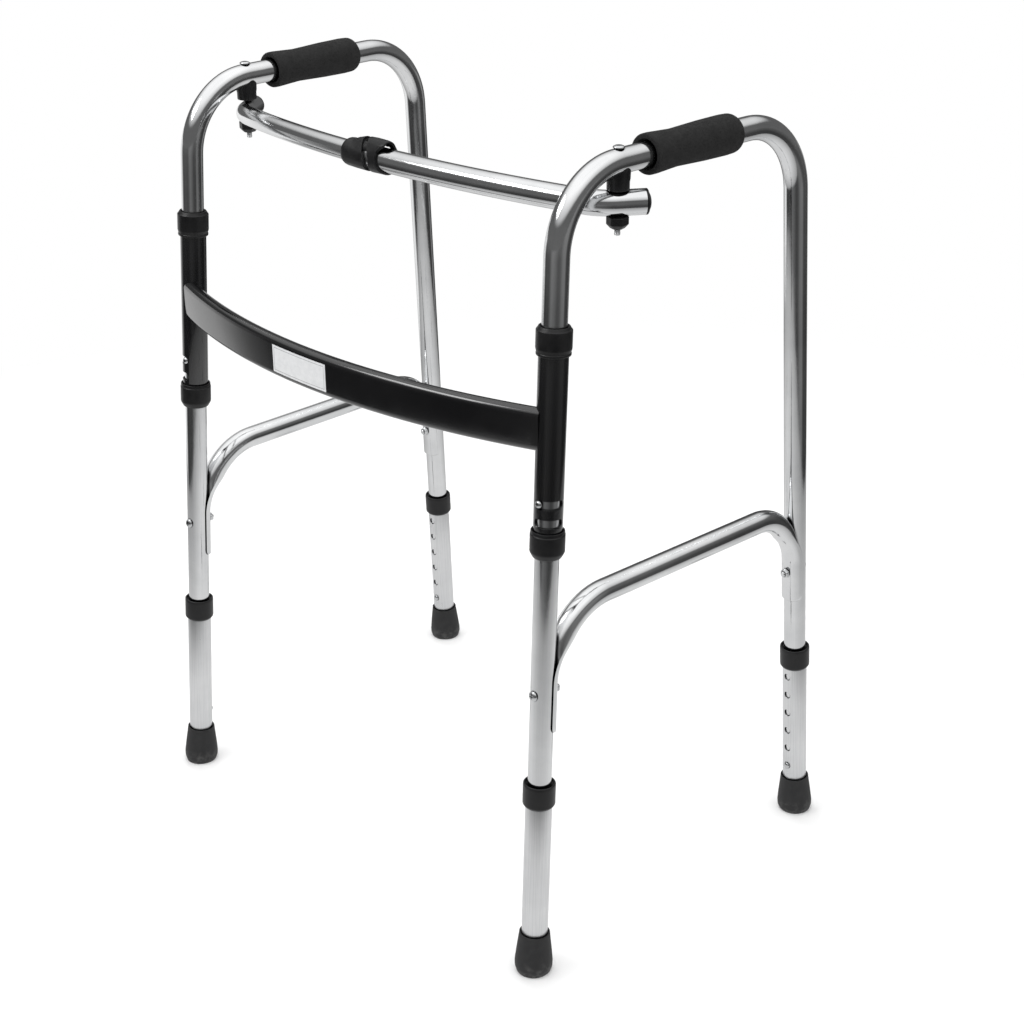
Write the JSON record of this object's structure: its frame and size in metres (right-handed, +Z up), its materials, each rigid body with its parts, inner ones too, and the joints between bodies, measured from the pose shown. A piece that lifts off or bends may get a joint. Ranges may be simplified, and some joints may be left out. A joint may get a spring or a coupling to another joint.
{
  "type": "walking frame",
  "caption": "Folding adult walking frame: two tubular side frames turn on a bowed front bar; snap buttons set the leg height; foam grips; rubber feet.",
  "frame": {"origin": "centre of the footprint, on the floor", "axes": "+Z up, -Y the way the user walks, +X the user's left"},
  "size_m": [0.68, 0.5008, 0.8915],
  "materials": {
    "bright_aluminium": "polished",
    "satin_aluminium": "satin",
    "plated_steel": "bright plated",
    "spring_steel": "plain",
    "gloss_black": "gloss",
    "black_plastic": "satin",
    "foam": "matte foam",
    "rubber": "matte",
    "foil": "satin"
  },
  "bodies": {
    "lower_bar": {"lower_crossbar": "gloss_black", "blank_plate": "foil", "fold_sleeve_left": "gloss_black", "fold_sleeve_right": "gloss_black", "sleeve_collar_upper_left": "black_plastic", "sleeve_collar_lower_left": "black_plastic", "sleeve_collar_upper_right": "black_plastic", "sleeve_collar_lower_right": "black_plastic"},
    "side_left": {"handle_frame_left": "bright_aluminium", "hand_grip_left": "foam", "side_brace_left": "bright_aluminium", "brace_bolt_front_left": "plated_steel", "brace_nut_front_left": "plated_steel", "brace_bolt_rear_left": "plated_steel", "brace_nut_rear_left": "plated_steel", "fold_stop_screw_left": "plated_steel", "pivot_bolt_left": "plated_steel", "pivot_spacer_left": "black_plastic", "pivot_knob_left": "black_plastic", "button_spring_front_left": "spring_steel", "button_spring_rear_left": "spring_steel"},
    "crossbar_left": {"upper_crossbar_left": "bright_aluminium", "crossbar_end_cap_left": "black_plastic"},
    "leg_front_left": {"leg_extension_front_left": "satin_aluminium", "leg_collar_front_left": "black_plastic", "rubber_foot_front_left": "rubber"},
    "button_front_left": {"snap_button_front_left": "plated_steel"},
    "leg_rear_left": {"leg_extension_rear_left": "satin_aluminium", "leg_collar_rear_left": "black_plastic", "rubber_foot_rear_left": "rubber"},
    "button_rear_left": {"snap_button_rear_left": "plated_steel"},
    "side_right": {"handle_frame_right": "bright_aluminium", "hand_grip_right": "foam", "side_brace_right": "bright_aluminium", "brace_bolt_front_right": "plated_steel", "brace_nut_front_right": "plated_steel", "brace_bolt_rear_right": "plated_steel", "brace_nut_rear_right": "plated_steel", "fold_stop_screw_right": "plated_steel", "pivot_bolt_right": "plated_steel", "pivot_spacer_right": "black_plastic", "pivot_knob_right": "black_plastic", "button_spring_front_right": "spring_steel", "button_spring_rear_right": "spring_steel"},
    "crossbar_right": {"upper_crossbar_right": "bright_aluminium", "crossbar_end_cap_right": "black_plastic", "crossbar_clip": "black_plastic"},
    "leg_front_right": {"leg_extension_front_right": "satin_aluminium", "leg_collar_front_right": "black_plastic", "rubber_foot_front_right": "rubber"},
    "button_front_right": {"snap_button_front_right": "plated_steel"},
    "leg_rear_right": {"leg_extension_rear_right": "satin_aluminium", "leg_collar_rear_right": "black_plastic", "rubber_foot_rear_right": "rubber"},
    "button_rear_right": {"snap_button_rear_right": "plated_steel"}
  },
  "joints": [
    {"name": "fold_left", "type": "hinge", "parent": "lower_bar", "child": "side_left", "pos_m": [0.3046, -0.2234, 0], "axis": [-0.0212, 0.0626, 0.9978], "range_deg": [0, 90]},
    {"name": "crossbar_swing_left", "type": "hinge", "parent": "side_left", "child": "crossbar_left", "pos_m": [0.28866, -0.08982, 0.831], "axis": [0, 0, -1], "range_deg": [0, 90]},
    {"name": "leg_slide_front_left", "type": "slide", "parent": "side_left", "child": "leg_front_left", "axis": [0.0212, -0.0626, -0.9978], "range_m": [0, 0.127], "deforming": ["snap_button_front_left"]},
    {"name": "button_press_front_left", "type": "slide", "parent": "side_left", "child": "button_front_left", "axis": [-0.0336, -0.9975, 0.0619], "range_m": [0, 0.0052], "stiffness_N_per_m": 400, "deforming": ["button_spring_front_left"]},
    {"name": "leg_slide_rear_left", "type": "slide", "parent": "side_left", "child": "leg_rear_left", "axis": [0.0251, 0.0611, -0.9978], "range_m": [0, 0.127], "deforming": ["snap_button_rear_left"]},
    {"name": "button_press_rear_left", "type": "slide", "parent": "side_left", "child": "button_rear_left", "axis": [0.0307, 0.9976, 0.0619], "range_m": [0, 0.0052], "stiffness_N_per_m": 400, "deforming": ["button_spring_rear_left"]},
    {"name": "fold_right", "type": "hinge", "parent": "lower_bar", "child": "side_right", "pos_m": [-0.3046, -0.2234, 0], "axis": [-0.0212, -0.0626, -0.9978], "range_deg": [0, 72]},
    {"name": "crossbar_swing_right", "type": "hinge", "parent": "side_right", "child": "crossbar_right", "pos_m": [-0.28866, -0.08982, 0.831], "axis": [0, 0, 1], "range_deg": [0, 90], "deforming": ["crossbar_clip"]},
    {"name": "leg_slide_front_right", "type": "slide", "parent": "side_right", "child": "leg_front_right", "axis": [-0.0212, -0.0626, -0.9978], "range_m": [0, 0.127], "deforming": ["snap_button_front_right"]},
    {"name": "button_press_front_right", "type": "slide", "parent": "side_right", "child": "button_front_right", "axis": [0.0336, -0.9975, 0.0619], "range_m": [0, 0.0052], "stiffness_N_per_m": 400, "deforming": ["button_spring_front_right"]},
    {"name": "leg_slide_rear_right", "type": "slide", "parent": "side_right", "child": "leg_rear_right", "axis": [-0.0251, 0.0611, -0.9978], "range_m": [0, 0.127], "deforming": ["snap_button_rear_right"]},
    {"name": "button_press_rear_right", "type": "slide", "parent": "side_right", "child": "button_rear_right", "axis": [-0.0307, 0.9976, 0.0619], "range_m": [0, 0.0052], "stiffness_N_per_m": 400, "deforming": ["button_spring_rear_right"]}
  ]
}
